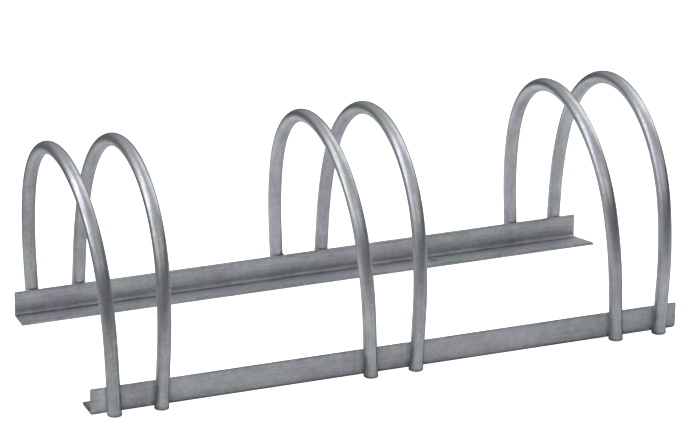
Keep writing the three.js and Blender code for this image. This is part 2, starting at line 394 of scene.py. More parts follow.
# Painted shade on the rails: in the inner corner and its crease, on the holes' walls, along the edges,
# over the flat toe's highlight and at the ground.
INNER_START = 0.8 * RAIL_THICKNESS   # from both outer faces, for the inner corner's shades
ROOT_FADE = 0.014
ROOT_STEEPER = 3.5           # inwards than upwards
ROOT_LIFT = 0.2
CREVICE_PLACE = 0.0052       # inwards less up
CREVICE_WIDTH = 0.0028
CREVICE_SHADES = (1.35, 0.9)         # painted shade in the crease, at the back rail's left and right ends
HOLE_SHADE = 0.5             # painted shade on a hole's wall
EDGE_FADE = 0.0017
GROUND_SHADE = 3.2
TOE_PLACE = 0.0015           # from the flat toe
TOE_WIDTH = 0.0013
TOE_SHADE = 1.3
RIGHT_SHADOW_PLACE = 0.0125         # painted shadow on the rail, from a leg's centreline past its right bead
RIGHT_SHADOW_WIDTH = 0.0026
BRIGHT_PLACE = 0.0095        # painted light beside its left bead, where tube and bead shade the rail
BRIGHT_WIDTH = 0.0055
BRIGHT_SIDE = 2.6
CUT_SHADE_REACH = 0.014      # painted shade behind the front rail's left cut, where the upright shades the flat leg
CUT_PAINTED_SHADE = 1.3
KNOCKED_CORNER = 0.004       # rounding of the front rail's lower right corner
KNOCK_LENGTH = 0.014


def rail_chains():
    """The angle's section as two chains of equally many points (inwards, up).

    One runs along the outside: round the upright leg's outer toe corner, down, round the heel and
    inwards to the flat leg's outer toe corner. The other runs beside it along the inner faces:
    round the upright toe, down, round the root fillet, inwards and round the flat toe.
    """
    r = CORNER_ROUNDING
    toe = RAIL_TOE_RADIUS
    root = RAIL_THICKNESS + RAIL_ROOT_RADIUS
    outer = chain(
        arc((r, RAIL_HEIGHT - r), r, 90, 180, TOE_POINTS),
        arc((r, r), r, 180, 270, ROOT_POINTS),
        arc((RAIL_WIDTH - r, r), r, 270, 360, TOE_POINTS))
    inner = chain(
        arc((RAIL_THICKNESS - toe, RAIL_HEIGHT - toe), toe, 90, 0, TOE_POINTS),
        arc((root, root), RAIL_ROOT_RADIUS, 180, 270, ROOT_POINTS),
        arc((RAIL_WIDTH - toe, RAIL_THICKNESS - toe), toe, 90, 0, TOE_POINTS))
    return outer, inner


def chain(tip, bend, toe):
    """Joins three arcs by the upright leg's points and the flat leg's, closest by the holes."""
    down = tip[-1, 1] + LEG_SHARES[1:-1] * (bend[0, 1] - tip[-1, 1])
    near = HOLE_GAUGE - HOLE_PATCH
    far = HOLE_GAUGE + HOLE_PATCH
    along = steps(
        (bend[-1, 0], near, ROOT_CELLS), (near, far, PATCH_CELLS), (far, toe[0, 0], TIP_CELLS))[1:-1]
    return np.concatenate([
        tip,
        np.stack([np.full(len(down), bend[0, 0]), down], axis=-1),
        bend,
        np.stack([along, np.full(len(along), bend[-1, 1])], axis=-1),
        toe,
    ])


# Chain index of the near line of a hole's square
FLAT_START = TOE_POINTS + LEG_CELLS - 1 + ROOT_POINTS + ROOT_CELLS - 1


def rail_stations(hole_places):
    """Distances along a rail from its left end, closest at the cut ends, the holes and the legs."""
    stretches = []
    start = SHEAR_LENGTH
    for place in hole_places:
        stretches.append((start, place - HOLE_PATCH, PLAIN_CELLS))
        stretches.append((place - HOLE_PATCH, place + HOLE_PATCH, PATCH_CELLS))
        start = place + HOLE_PATCH
    stretches.append((start, RAIL_LENGTH - SHEAR_LENGTH, PLAIN_CELLS))
    legs = [foot_place(number)[0] - RAIL_START for number in HOOP_NUMBERS]
    by_legs = np.add.outer(legs, np.linspace(-LEG_REACH, LEG_REACH, LEG_STATIONS)).ravel()
    middle = np.unique(np.concatenate([steps(*stretches), by_legs]).round(STATION_DIGITS))
    end = SHEAR_LENGTH * SHEAR_SHARES
    return np.concatenate([end, middle, (RAIL_LENGTH - end)[::-1]])


def rail_skin(hole_places, slant_reach):
    """Points and quads of a rail whose left end is at x = 0, outer face at 0 and flat leg inwards.

    The section's closed outline is carried along the rail, and near each cut its inner chain droops
    by SHEAR_DROOP (1 - d / SHEAR_LENGTH)^2. Beyond the last hole the outline's points slide on by
    the slanting end's reach. The cells round a hole give way to that hole's own skin.
    """
    outer, inner = rail_chains()
    along = rail_stations(hole_places)
    from_end = np.minimum(along, along[-1] - along)
    droop = SHEAR_DROOP * np.clip(1 - from_end / SHEAR_LENGTH, 0, 1) ** 2
    thinned = inner[None] + droop[:, None, None] * (outer - inner)[None] / RAIL_THICKNESS
    outline = np.concatenate([np.broadcast_to(outer, thinned.shape), thinned[:, ::-1]], axis=1)
    x = along[:, None] + slant(along, outline[..., 0], max(hole_places), slant_reach)
    points = np.concatenate([x[..., None], outline], axis=-1)
    quads = grid_quads(*points.shape[:2], wrap_columns=True)
    keep = np.ones(quads.shape[:2], bool)
    count = len(outer)
    bottom = slice(FLAT_START, FLAT_START + PATCH_CELLS)
    top = slice(2 * count - 1 - bottom.stop, 2 * count - 1 - bottom.start)
    for place in hole_places:
        stations = np.flatnonzero(np.abs(along - place) < HOLE_PATCH + MERGE_DISTANCE)
        rows = slice(stations[0], stations[-1])
        keep[rows, bottom] = False
        keep[rows, top] = False
    parts = [(points, quads[keep])]
    for hole in map(hole_skin, hole_places):
        parts.append((hole, grid_quads(*hole.shape[:2], wrap_columns=True)))
    for end in (0, -1):
        cap = end_cap(points[end], count)
        parts.append((cap, grid_quads(*cap.shape[:2])))
    return join_grids(parts)


def slant(along, inwards, last_hole, reach):
    """How far points move on towards the slanting end.

    The move grows with the share of the way from the last hole's patch to the end, and with the
    share of the way inwards from the upright leg to the flat toe.
    """
    start = last_hole + 2 * HOLE_PATCH
    share = np.clip((along - start) / (along[-1] - start), 0, 1)[:, None]
    out = np.clip((inwards - RAIL_THICKNESS) / (RAIL_WIDTH - RAIL_THICKNESS), 0, 1)
    return reach * share * out


def end_cap(outline, count):
    """A grid across the thickness of a cut end, from the outer chain to the inner one.

    Its first and last rows run along single edges of the outline, so their inner points are drawn
    back to the outer chain.
    """
    outer = outline[:count]
    inner = outline[count:][::-1]
    share = np.tile(np.linspace(0, 1, CAP_CELLS + 1), (count, 1))
    share[[0, -1], 1:-1] = 0
    return outer[:, None] * (1 - share[..., None]) + inner[:, None] * share[..., None]


def hole_skin(place):
    """Rings from the square patch on the flat leg's top down through a hole to the one below.

    Square and circle both start at the same corner. The rings between them mix the two by
    PATCH_SHARES, and those of the rounded rim lie rounding (1 - cos a) down and rounding
    (1 - sin a) out. The last of them keeps the circle down the hole's wall.
    """
    side = np.linspace(-HOLE_PATCH, HOLE_PATCH, PATCH_CELLS + 1)[:-1]
    edge = np.full(PATCH_CELLS, HOLE_PATCH)
    square = np.concatenate([
        np.stack([side, -edge], axis=-1),
        np.stack([edge, side], axis=-1),
        np.stack([-side, edge], axis=-1),
        np.stack([-edge, -side], axis=-1),
    ])
    angle = np.linspace(0, 2 * math.pi, 4 * PATCH_CELLS, endpoint=False) - 3 * math.pi / 4
    circle = np.stack([np.cos(angle), np.sin(angle)], axis=-1)
    depths = CORNER_ROUNDING * (1 - np.cos(RIM_TURNS))
    radii = HOLE_RADIUS + CORNER_ROUNDING * (1 - np.sin(RIM_TURNS))
    half = [(square * (1 - share) + circle * radii[0] * share, 0.0) for share in PATCH_SHARES]
    half += [(circle * radius, depth) for radius, depth in zip(radii, depths)]
    rings = [(ring, RAIL_THICKNESS - depth) for ring, depth in half]
    rings += [(ring, depth) for ring, depth in half[::-1]]
    return np.stack([
        np.concatenate([ring + (place, HOLE_GAUGE), np.full((len(ring), 1), height)], axis=-1)
        for ring, height in rings])


def rail_masks(points, placed, hole_places):
    """Values per point of a rail, from its own place (along, inwards, up) and its place in the rack.

    Root is painted shade in the inner corner, a bell curve that dies out up and inwards from it,
    less ROOT_LIFT, so the inner faces away from the corner come out brighter. Crevice is painted
    shade, a bell curve across that corner's lower side, and at least HOLE_SHADE on a hole's wall.
    Edge is painted shade that fades from the upright toe, the heel's lower edge and the cut ends,
    and a bell curve on the flat toe's bend, over its highlight. The joint mask is a painted shadow,
    a bell curve on each leg's right on the outer face, and a negative one on its left, painted light
    where the tube and bead shade the rail.
    """
    along, inwards, up = points.T
    inside = np.minimum(inwards, up) > INNER_START
    to_root = np.maximum(ROOT_STEEPER * (inwards - RAIL_THICKNESS) + RAIL_THICKNESS, up)
    root = (bell(to_root, 0, ROOT_FADE) - ROOT_LIFT) * inside
    crevice = bell(inwards - up, CREVICE_PLACE, CREVICE_WIDTH) * inside
    crevice *= np.interp(along, (0, along.max()), CREVICE_SHADES)
    for place in hole_places:
        from_centre = np.hypot(along - place, inwards - HOLE_GAUGE)
        on_wall = from_centre < HOLE_RADIUS + CORNER_ROUNDING / 4
        crevice = np.maximum(crevice, HOLE_SHADE * on_wall)
    from_cut = np.minimum(along, along.max() - along)
    edge = np.exp(-np.minimum(RAIL_HEIGHT - up, from_cut).clip(0) / EDGE_FADE)
    at_heel = inwards < RAIL_THICKNESS
    edge = np.maximum(edge, GROUND_SHADE * np.exp(-up.clip(0) / EDGE_FADE) * at_heel)
    edge = np.maximum(edge, TOE_SHADE * bell(RAIL_WIDTH - inwards, TOE_PLACE, TOE_WIDTH))
    # Painted shadow right of each leg and painted light left of it, where the tube and bead shade the
    # rail
    joint = np.zeros(len(points))
    for number in HOOP_NUMBERS:
        foot_x, outward = foot_place(number)
        beside = placed[:, 0] - foot_x - outward * math.tan(SPLAY) * up
        joint += bell(beside, RIGHT_SHADOW_PLACE, RIGHT_SHADOW_WIDTH)
        joint -= BRIGHT_SIDE * bell(beside, -BRIGHT_PLACE, BRIGHT_WIDTH)
    joint *= inwards < RAIL_THICKNESS / 2
    values = {"root": root, "crevice": crevice, "edge": edge, "joint": joint}
    return {label: value[:, None] for label, value in values.items()}


def knock_corner(points):
    """Rounds the heel's corner at a rail's left end: x moves on by r - sqrt(r^2 - (r - z)^2).

    The move dies out along the rail over KNOCK_LENGTH, and inwards over the same length.
    """
    along, inwards, up = points.T
    low = np.clip(KNOCKED_CORNER - up, 0, KNOCKED_CORNER)
    move = KNOCKED_CORNER - np.sqrt(KNOCKED_CORNER * KNOCKED_CORNER - low * low)
    fade = np.clip(1 - along / KNOCK_LENGTH, 0, 1) * np.clip(1 - inwards / KNOCK_LENGTH, 0, 1)
    points[:, 0] += move * fade


def place_rail(points, start, way):
    """A rail's points in the rack: as they are for the back, way 1, and turned for the front, -1."""
    along, inwards, up = points.T
    return np.stack([start + way * along, way * (RAIL_FACE - inwards), up], axis=-1)


def make_rails():
    """Both rails. The front one is turned end for end, so its hole places are counted back.

    Painted shade behind the front rail's far cut, in the upright's shade, dies out along it as exp(-d
    / reach), with the reach set above.
    """
    holes = [FIRST_HOLE, FIRST_HOLE + HOLE_SPACING]
    points, quads = rail_skin(holes, END_CUT_REACH)
    placed = place_rail(points, RAIL_START, 1)
    masks = rail_masks(points, placed, holes)
    finish_piece("back_rail", placed, quads, "galvanised_angle", **masks)
    holes = [RAIL_LENGTH - place for place in holes[::-1]]
    points, quads = rail_skin(holes, 0.0)
    masks = rail_masks(points, place_rail(points, RAIL_END, -1), holes)
    behind = smooth_step((points[:, 1] - RAIL_THICKNESS) / RAIL_THICKNESS)
    at_end = np.exp(-(RAIL_LENGTH - points[:, 0]) / CUT_SHADE_REACH)
    cut_shade = CUT_PAINTED_SHADE * behind * at_end
    masks["crevice"] = np.maximum(masks["crevice"], cut_shade[:, None])
    knock_corner(points)
    placed = place_rail(points, RAIL_END, -1)
    finish_piece("front_rail", placed, quads, "galvanised_angle", **masks)


# Welds

ENDS = {-1: "front", 1: "back"}
SIDES = {-1: "left", 1: "right"}
WELD_TOE = 0.0008            # how far a bead spreads on the rail past the tube's side
WELD_CROWN = 0.0005
WELD_SINK = 0.00015          # how deep the bead is fused into tube and rail
WELD_ROOT_ANGLE = math.radians(66)
WELD_FLANK_ANGLE = math.radians(24)
WELD_FOOT_GAP = 0.0015
WELD_TAPER = 0.009
WELD_END_SIZE = 0.06
SLIM_WELD_SIZE = 0.6         # of the beads on the front legs' left sides
WELD_DROP = 0.0008           # of a bead's upper end below the rail's top edge
WELD_RISES = {               # beads that climb past that edge
    "hoop_1_back_weld_left": 0.0008,
    "hoop_3_back_weld_right": 0.0045,
    "hoop_4_back_weld_left": 0.0006,
    "hoop_5_back_weld_right": 0.0015,
}
END_DARKENING_FADE = 0.005           # up and down from a bead's ends
RIPPLE_PITCH = 0.0026
RIPPLE_DEPTH = 0.00028
DRIFT_WAVES = ((0.12, 9.0, 1.0), (0.08, 23.0, 2.0))  # swing, radians along a bead, times its seed
SIZE_DRIFT = 0.5
PITCH_DRIFT = 2.0
SEED_STEPS = (1.7, 0.9, 2.3)         # by hoop, end and side
WELD_ROWS = 64
WELD_ARC_POINTS = 7
WELD_FACE_POINTS = 7


def weld_skin(high, full_size, seed):
    """Points of one bead beside a tube at the origin whose rail face lies towards +Y, rows by section.

    The section goes round the tube from its root to its flank, bulges over to its toe on the rail
    by 4 s (1 - s) and goes back to the root along the face. Along the bead its size dies out at
    both ends as a sine, and its face ripples with |sin| waves. Two slow waves, the drift, vary its
    size and the ripples' pitch.
    """
    share = np.linspace(0, 1, WELD_ROWS)
    height = WELD_FOOT_GAP + share * (high - WELD_FOOT_GAP)
    from_end = np.clip(np.minimum(height - WELD_FOOT_GAP, high - height) / WELD_TAPER, 0, 1)
    size = WELD_END_SIZE + (full_size - WELD_END_SIZE) * np.sin(from_end * math.pi / 2)
    drift = sum(swing * np.sin(rate * share + times * seed) for swing, rate, times in DRIFT_WAVES)
    size = (size * (1 + SIZE_DRIFT * drift))[:, None]
    wave = np.abs(np.sin(math.pi * (height / RIPPLE_PITCH + PITCH_DRIFT * drift)))[:, None]
    hug = TUBE_RADIUS - WELD_SINK
    face = TUBE_RADIUS + SEAT_GAP + WELD_SINK
    round_share = np.linspace(0, 1, WELD_ARC_POINTS)[None, :]
    turn = WELD_ROOT_ANGLE - size * (WELD_ROOT_ANGLE - WELD_FLANK_ANGLE) * round_share
    round_tube = np.stack([hug * np.cos(turn), hug * np.sin(turn)], axis=-1)
    root_x = hug * math.cos(WELD_ROOT_ANGLE)
    toe_x = root_x + size * (TUBE_RADIUS + WELD_TOE - root_x)
    over = np.linspace(0, 1, WELD_FACE_POINTS + 1)[None, 1:]
    flank = round_tube[:, -1:]
    bulge = size * (WELD_CROWN + RIPPLE_DEPTH * (wave - 1)) * 4 * over * (1 - over)
    face_x = flank[..., 0] * (1 - over) + toe_x * over + bulge
    face_y = flank[..., 1] * (1 - over) + face * over - bulge
    x = np.concatenate([round_tube[..., 0], face_x, np.full((WELD_ROWS, 1), root_x)], axis=1)
    y = np.concatenate([round_tube[..., 1], face_y, np.full((WELD_ROWS, 1), face)], axis=1)
    z = np.broadcast_to(height[:, None], x.shape)
    return np.stack([x, y, z], axis=-1)


def close_ends(rings):
    """Adds a point in the middle of each end ring, as a last ring drawn together."""
    first = np.broadcast_to(rings[:1].mean(axis=1, keepdims=True), rings[:1].shape)
    last = np.broadcast_to(rings[-1:].mean(axis=1, keepdims=True), rings[-1:].shape)
    return np.concatenate([first, rings, last])


def make_weld(number, end, side):
    """One bead, mirrored to its end of the rack and its side of the tube, and set on its foot.

    The darkening towards its ends is exp(-d / its fade length), with d the height from the nearer end
    of the bead.
    """
    foot_x, outward = foot_place(number)
    node = f"hoop_{number}_{ENDS[end]}_weld_{SIDES[side]}"
    high = RAIL_HEIGHT + WELD_RISES.get(node, -WELD_DROP)
    seed = sum(step * times for step, times in zip(SEED_STEPS, (number, end, side)))
    full_size = SLIM_WELD_SIZE if end == side == -1 else 1.0
    x, y, z = np.moveaxis(close_ends(weld_skin(high, full_size, seed)), -1, 0)
    points = set_on_foot(side * x, end * (HOOP_WIDTH / 2 - y), z, foot_x, outward * SPLAY)
    burnt = np.exp(-np.minimum(z - WELD_FOOT_GAP, high - z) / END_DARKENING_FADE)[..., None]
    quads = grid_quads(*points.shape[:2], wrap_columns=True)
    finish_piece(node, points, quads, "galvanised_weld", burnt=burnt)


def make_welds():
    """Four beads for each hoop."""
    for number in HOOP_NUMBERS:
        for end in ENDS:
            for side in SIDES:
                make_weld(number, end, side)


# Finishes

CRYSTAL_TIMES = (2.3, 1.0)   # how much finer than the crystal size, and each size's share
CRYSTAL_SHARES = (0.4, 0.6)
BLOOM_RANGE = (0.32, 0.68)   # of the noise that becomes 0 to 1
TINT_RANGE = (0.35, 0.65)
TINT_OFFSET = (3.1, 1.7, 0.6)
DIMPLE_TIMES = 0.12          # how much coarser than the grain the dimples are, and how high
DIMPLE_HEIGHT = 2.5
LINE_RANGE = (0.3, 0.7)
TONE_RANGE = (-0.6, 1.4)     # tones, and the factors on a finish's tints that they become
FACTOR_RANGE = (0.25, 1.61)
LOOKS = {                    # sizes of each finish's patterns, their amounts, and its gloss
    "galvanised_tube": {
        "crystal": 0.005, "waver": 0.003, "patch": 0.045, "grain": 0.0007,
        "line_width": 0.0013, "line_stretch": 45.0,
        "base_tone": 0.04, "bloom_tone": 0.34, "spangle_tone": 0.28, "line_tone": 0.30,
        "grey": (0.575, 0.595, 0.62, 1), "lilac": (0.60, 0.56, 0.66, 1),
        "green": (0.535, 0.605, 0.60, 1),
        "metallic": 0.92, "gloss_tint": (0.75, 0.76, 0.78, 1.0),
        "rough": 0.50, "rough_by_tone": -0.22,
        "line_height": 1.2, "bump": 0.2, "bump_depth": 0.0002,
    },
    "galvanised_angle": {
        "crystal": 0.007, "waver": 0.004, "patch": 0.07, "grain": 0.0008,
        "line_width": 0.0018, "line_stretch": 30.0,
        "base_tone": 0.06, "bloom_tone": 0.26, "spangle_tone": 0.3, "line_tone": 0.32,
        "grey": (0.565, 0.585, 0.61, 1), "lilac": (0.59, 0.56, 0.66, 1),
        "green": (0.53, 0.60, 0.595, 1),
        "metallic": 0.88, "gloss_tint": (0.75, 0.76, 0.78, 1.0),
        "rough": 0.58, "rough_by_tone": -0.18,
        "line_height": 0.8, "bump": 0.2, "bump_depth": 0.00025,
    },
    "galvanised_weld": {
        "crystal": 0.0025, "waver": 0.001, "patch": 0.012, "grain": 0.0005,
        "base_tone": 0.0, "bloom_tone": 0.5, "spangle_tone": 0.5,
        "grey": (0.52, 0.54, 0.565, 1), "lilac": (0.55, 0.51, 0.60, 1),
        "green": (0.48, 0.545, 0.54, 1),
        "metallic": 0.85, "gloss_tint": (0.7, 0.71, 0.73, 1.0),
        "rough": 0.72, "rough_by_tone": -0.15,
        "bump": 0.4, "bump_depth": 0.0003,
    },
}
# Painted shade on the tubes, low on the front legs, at the cut feet and by the rail
FRONT_PAINTED_SHADE = 0.2             # painted shade on the tubes' tone, dying out up the front legs
FRONT_SHADE_REACH = (0.02, 0.14)
FOOT_PAINTED_SHADE = 0.7              # painted contact shade at the cut feet
FOOT_SHADE_REACH = (0.0, 0.005)
TUBE_JOINT_PAINTED_SHADE = 0.6
# Painted shade on the angle by each mask, and painted light where the joint mask is negative
ANGLE_PAINTED_SHADES = {"root": 0.64, "crevice": 0.64, "edge": 0.6, "joint": 0.35}
ROOT_ROUGHER = 0.1
END_DARKENING_AMOUNT = 0.8


class Bench:
    """Adds nodes to a tree. An input given as a socket is linked, any other is the socket's value."""

    def __init__(self, tree):
        self.tree = tree

    def link(self, source, target):
        self.tree.links.new(source, target)

    def add(self, kind, inputs=None, **settings):
        node = self.tree.nodes.new(kind)
        for label, value in settings.items():
            setattr(node, label, value)
        for label, value in (inputs or {}).items():
            if isinstance(value, bpy.types.NodeSocket):
                self.link(value, node.inputs[label])
            else:
                node.inputs[label].default_value = value
        return node

    def math(self, operation, first, second=0.0, third=0.0):
        inputs = {0: first, 1: second, 2: third}
        return self.add("ShaderNodeMath", inputs, operation=operation).outputs[0]

    def total(self, start, *parts):
        """The start plus each part's socket times its amount."""
        for socket, amount in parts:
            start = self.math("MULTIPLY_ADD", socket, amount, start)
        return start

    def ramp(self, value, low, high, to_low=0.0, to_high=1.0):
        """Straight from to_low at low to to_high at high, and level beyond."""
        inputs = {0: value, 1: low, 2: high, 3: to_low, 4: to_high}
        return self.add("ShaderNodeMapRange", inputs).outputs[0]

    def mix(self, share, first, second, blend="MIX"):
        inputs = {0: share, 6: first, 7: second}
        node = self.add("ShaderNodeMix", inputs, data_type="RGBA", blend_type=blend)
        return node.outputs[2]

    def grey(self, tone):
        """A colour of three equal values."""
        return self.add("ShaderNodeCombineColor", {0: tone, 1: tone, 2: tone}).outputs[0]

    def noise(self, vector, scale, detail, roughness=0.5):
        inputs = {"Vector": vector, "Scale": scale, "Detail": detail, "Roughness": roughness}
        return self.add("ShaderNodeTexNoise", inputs).outputs

    def vectors(self, operation, inputs, output=0):
        return self.add("ShaderNodeVectorMath", inputs, operation=operation).outputs[output]

    def value(self, label, output="Fac"):
        """A value kept on the piece's points."""
        return self.add("ShaderNodeAttribute", attribute_name=label).outputs[output]

    def use(self, name, inputs):
        """Places a group made below."""
        return self.add("ShaderNodeGroup", inputs, node_tree=bpy.data.node_groups[name]).outputs


def new_group(name, inputs, outputs):
    """An empty shader group with named sockets, and a bench to fill it on."""
    tree = bpy.data.node_groups.new(name, "ShaderNodeTree")
    for label, value in inputs.items():
        kind = "NodeSocketVector" if value is None else "NodeSocketFloat"
        socket = tree.interface.new_socket(name=label, in_out="INPUT", socket_type=kind)
        if value is not None:
            socket.default_value = value
    for label in outputs:
        tree.interface.new_socket(name=label, in_out="OUTPUT", socket_type="NodeSocketFloat")
    bench = Bench(tree)
    return bench, bench.add("NodeGroupInput").outputs, bench.add("NodeGroupOutput").inputs


def build_spangle():
    """Zinc crystals: cells of random tone with wavering borders, in two sizes.

    The cells' place is moved by waver times centred noise, and the two sizes' tones add up.
    """
    bench, given, out = new_group(
        "zinc_spangle", {"Vector": None, "Crystal Size": 0.006, "Waver": 0.002}, ["Tone"])
    scale = bench.math("DIVIDE", 1.0, given["Crystal Size"])
    noise = bench.noise(given["Vector"], scale, 3.0)["Color"]
    centred = bench.vectors("SUBTRACT", {0: noise, 1: (0.5, 0.5, 0.5)})
    waver = bench.vectors("SCALE", {0: centred, "Scale": given["Waver"]})
    moved = bench.vectors("ADD", {0: given["Vector"], 1: waver})
    tone = 0.0
    for times, share in zip(CRYSTAL_TIMES, CRYSTAL_SHARES):
        inputs = {"Vector": moved, "Scale": bench.math("MULTIPLY", scale, times)}
        cells = bench.add("ShaderNodeTexVoronoi", inputs).outputs["Color"]
        cell_tone = bench.add("ShaderNodeSeparateColor", {0: cells}).outputs[0]
        tone = bench.total(tone, (cell_tone, share))
    bench.link(tone, out["Tone"])


def build_bloom():
    """Cloudy patches where the zinc cooled more slowly and dulled, and a tint of its own."""
    bench, given, out = new_group(
        "zinc_bloom", {"Vector": None, "Patch Size": 0.05}, ["Tone", "Tint"])
    scale = bench.math("DIVIDE", 1.0, given["Patch Size"])
    clouds = bench.noise(given["Vector"], scale, 4.0, 0.55)[0]
    bench.link(bench.ramp(clouds, *BLOOM_RANGE), out["Tone"])
    far = bench.vectors("ADD", {0: given["Vector"], 1: TINT_OFFSET})
    bench.link(bench.ramp(bench.noise(far, scale, 2.0)[0], *TINT_RANGE), out["Tint"])


def build_grain():
    """The skin of the zinc: fine grains on small shallow dimples."""
    bench, given, out = new_group("zinc_grain", {"Vector": None, "Grain Size": 0.0006}, ["Height"])
    scale = bench.math("DIVIDE", 1.0, given["Grain Size"])
    grain = bench.noise(given["Vector"], scale, 2.0)[0]
    coarse = bench.math("MULTIPLY", scale, DIMPLE_TIMES)
    dimples = bench.noise(given["Vector"], coarse, 2.0)[0]
    bench.link(bench.total(grain, (dimples, DIMPLE_HEIGHT)), out["Height"])


def build_lines():
    """Faint lines left by drawing or rolling: noise stretched along the third axis of the vector."""
    bench, given, out = new_group(
        "drawn_lines", {"Vector": None, "Line Width": 0.0012, "Stretch": 60.0}, ["Tone"])
    parts = bench.add("ShaderNodeSeparateXYZ", {0: given["Vector"]}).outputs
    slow = bench.math("DIVIDE", parts[2], given["Stretch"])
    vector = bench.add("ShaderNodeCombineXYZ", {0: parts[0], 1: parts[1], 2: slow}).outputs[0]
    scale = bench.math("DIVIDE", 1.0, given["Line Width"])
    bench.link(bench.ramp(bench.noise(vector, scale, 2.0)[0], *LINE_RANGE), out["Tone"])


def start_finish(slot):
    """A new material with its slot's gloss: its look, its bench, its shader and the place."""
    look = LOOKS[slot]
    material = bpy.data.materials.new(slot + "_finish")
    finishes[slot] = material
    material.use_nodes = True
    bench = Bench(material.node_tree)
    shader = material.node_tree.nodes["Principled BSDF"]
    shader.inputs["Metallic"].default_value = look["metallic"]
    shader.inputs["Specular Tint"].default_value = look["gloss_tint"]
    place = bench.add("ShaderNodeTexCoord").outputs["Object"]
    return look, bench, shader.inputs, place


def zinc_patterns(look, bench, place, line_vector=None):
    """Tone, tint, roughness and height of a finish, its patterns added up by its look's amounts."""
    spangle = bench.use("zinc_spangle", {
        "Vector": place, "Crystal Size": look["crystal"], "Waver": look["waver"]})["Tone"]
    bloom = bench.use("zinc_bloom", {"Vector": place, "Patch Size": look["patch"]})
    height = bench.use("zinc_grain", {"Vector": place, "Grain Size": look["grain"]})["Height"]
    tone = bench.total(
        look["base_tone"], (bloom["Tone"], look["bloom_tone"]), (spangle, look["spangle_tone"]))
    if line_vector is not None:
        lines = bench.use("drawn_lines", {
            "Vector": line_vector, "Line Width": look["line_width"],
            "Stretch": look["line_stretch"]})["Tone"]
        tone = bench.total(tone, (lines, look["line_tone"]))
        height = bench.total(height, (lines, look["line_height"]))
    rough = bench.total(look["rough"], (tone, look["rough_by_tone"]))
    return tone, bloom["Tint"], rough, height


def end_finish(look, bench, inputs, shaded, tint, rough, height):
    """Feeds the shader: grey, half of it tinted lilac to green, times the tone's factor."""
    base = bench.mix(0.5, look["grey"], bench.mix(tint, look["lilac"], look["green"]))
    factor = bench.grey(bench.ramp(shaded, *TONE_RANGE, *FACTOR_RANGE))
    bench.link(bench.mix(1.0, base, factor, "MULTIPLY"), inputs["Base Color"])
    bench.link(rough, inputs["Roughness"])
    bump = bench.add("ShaderNodeBump", {
        "Height": height, "Strength": look["bump"], "Distance": look["bump_depth"]})
    bench.link(bump.outputs[0], inputs["Normal"])


def build_tube_finish():
    """Zinc on tube: painted shade low on the front legs, at the feet and by the rail, and painted
    light along the hoop with its own tone.
    """
    look, bench, inputs, place = start_finish("galvanised_tube")
    flow = bench.value("flow", "Vector")
    tone, tint, rough, height = zinc_patterns(look, bench, place, flow)
    from_front = bench.add("ShaderNodeSeparateXYZ", {0: flow}).outputs[2]
    shaded = bench.total(
        tone,
        (bench.ramp(from_front, *FRONT_SHADE_REACH, 1.0, 0.0), -FRONT_PAINTED_SHADE),
        (bench.ramp(bench.value("foot"), *FOOT_SHADE_REACH, 1.0, 0.0), -FOOT_PAINTED_SHADE),
        (bench.value("joint"), -TUBE_JOINT_PAINTED_SHADE),
        (bench.value("rub"), 1.0),
    )
    end_finish(look, bench, inputs, shaded, tint, rough, height)


def build_angle_finish():
    """Zinc on rolled angle, with lines along the rack: painted shade by each of the rail's masks,
    painted light where the joint mask is negative.
    """
    look, bench, inputs, place = start_finish("galvanised_angle")
    rotation = (0.0, math.radians(90), 0.0)
    along = bench.add("ShaderNodeMapping", {"Vector": place, "Rotation": rotation}).outputs[0]
    tone, tint, rough, height = zinc_patterns(look, bench, place, along)
    masks = {label: bench.value(label) for label in ANGLE_PAINTED_SHADES}
    shaded = bench.total(tone, *((masks[label], -dull) for label, dull in ANGLE_PAINTED_SHADES.items()))
    rough = bench.total(rough, (masks["root"], ROOT_ROUGHER))
    end_finish(look, bench, inputs, shaded, tint, rough, height)


def build_weld_finish():
    """Zinc on weld metal, without lines: darker towards a bead's ends."""
    look, bench, inputs, place = start_finish("galvanised_weld")
    tone, tint, rough, height = zinc_patterns(look, bench, place)
    shaded = bench.total(tone, (bench.value("burnt"), -END_DARKENING_AMOUNT))
    end_finish(look, bench, inputs, shaded, tint, rough, height)


# Stage

SEEN_WHITE = (0.97, 0.97, 0.97, 1)   # what the camera sees of floor and world
FLOOR_HALF = 40.0
FLOOR_DROP = 0.0002
FLOOR_TONE = 0.9
FAR_FLOOR_TONE = 0.03
FLOOR_ROUGHNESS = 0.9
FLOOR_GLOSS = 0.1
FLOOR_LIFT = 1.0             # the camera sees the floor this much brighter than it is lit
PALE_CENTRE = (0.2, -0.1, 0.0)
PALE_REACH = (0.75, 1.3)
HORIZON_TOP = (0.26, 0.42)   # heights of the outward direction between horizon and dome
HORIZON_TONE = 0.02
DOME_TONE = 0.5
BACK_DIM = (0.2, 0.9, 1.0, 0.55)     # from 1.0 at a direction's y of 0.2 to 0.55 at 0.9
SENSOR = 36.0
CAMERA_LENS = 203.7
CAMERA_DISTANCE = 5.308
CAMERA_REACH = 100.0
CAMERA_AZIMUTH = math.radians(21.67)     # the camera looks along +Y turned this far towards +X
CAMERA_ELEVATION = math.radians(22.27)
CAMERA_ROLL = math.radians(0.78)
CAMERA_AIM = Vector((0.0167, 0.0478, 0.1307))


